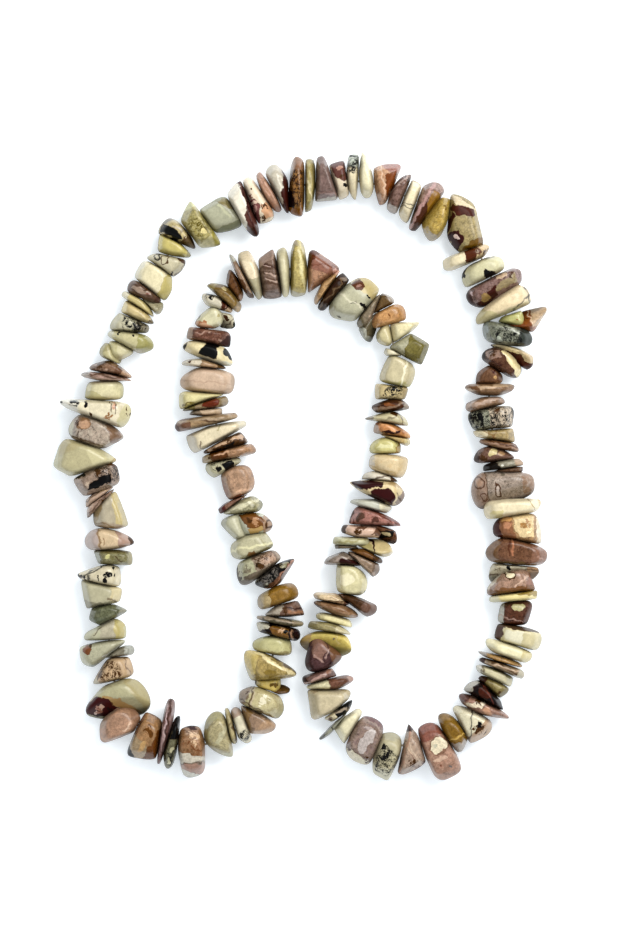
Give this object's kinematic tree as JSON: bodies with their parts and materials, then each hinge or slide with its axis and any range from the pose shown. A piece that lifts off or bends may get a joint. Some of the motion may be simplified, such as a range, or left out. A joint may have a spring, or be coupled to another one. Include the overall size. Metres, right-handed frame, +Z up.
{
  "type": "picture jasper chip necklace",
  "caption": "Endless necklace of tumbled picture jasper chips pressed together on a thread, lying flat with its lower end turned inward.",
  "frame": {"origin": "middle of the necklace's outline, on the surface it lies on", "axes": "+Y along the longer side of the loop, towards its rounded closed end; +X across it; +Z up from the surface"},
  "size_m": [0.1234, 0.1571, 0.0104],
  "materials": {
    "cream": "tumbled to a soft polish, pale cream with clouds and dark fern-like marks",
    "sand": "tumbled to a soft polish, sandy beige with darker lines",
    "tan": "tumbled to a soft polish, tan with brown edges",
    "khaki": "tumbled to a soft polish, yellowish khaki, speckled",
    "olive": "tumbled to a soft polish, pale olive with cream and dark patches",
    "moss": "tumbled to a soft polish, dark moss green and pale grey",
    "honey": "tumbled to a soft polish, golden brown",
    "rust": "tumbled to a soft polish, rusty brown, mottled",
    "brick": "tumbled to a soft polish, reddish mauve with dark patches",
    "rose": "tumbled to a soft polish, pinkish brown",
    "mauve": "tumbled to a soft polish, greyish mauve brown, banded and mottled",
    "brown": "tumbled to a soft polish, deep brown",
    "umber": "tumbled to a soft polish, near-black brown with paler patches",
    "slate": "tumbled to a soft polish, dark green grey, mottled",
    "thread": "plain beige stringing thread, matt"
  },
  "bodies": {
    "root": {"run_01": "khaki", "run_02": "cream", "run_03": "mauve", "run_04": "olive", "run_05": "cream", "run_06": "slate", "run_07": "umber", "run_08": "tan", "run_09": "khaki", "run_10": "mauve", "run_11": "brown", "run_12": "tan", "run_13": "cream", "run_14": "mauve", "run_15": "umber", "run_16": "honey", "run_17": "cream", "run_18": "sand", "run_19": "umber", "run_20": "olive", "run_21": "umber", "run_22": "mauve", "run_23": "olive", "run_24": "brick", "run_25": "olive", "run_26": "cream", "run_27": "rust", "run_28": "tan", "run_29": "moss", "run_30": "tan", "run_31": "olive", "run_32": "rose", "run_33": "mauve", "run_34": "honey", "run_35": "cream", "run_36": "cream", "run_37": "cream", "run_38": "cream", "run_39": "rose", "run_40": "olive", "run_41": "olive", "run_42": "honey", "run_43": "umber", "run_44": "khaki", "run_45": "olive", "run_46": "rust", "run_47": "honey", "run_48": "sand", "run_49": "cream", "run_50": "cream", "run_51": "sand", "run_52": "mauve", "run_53": "cream", "run_54": "mauve", "run_55": "sand", "run_56": "cream", "run_57": "olive", "run_58": "olive", "run_59": "cream", "thread": "thread"}
  },
  "joints": []
}
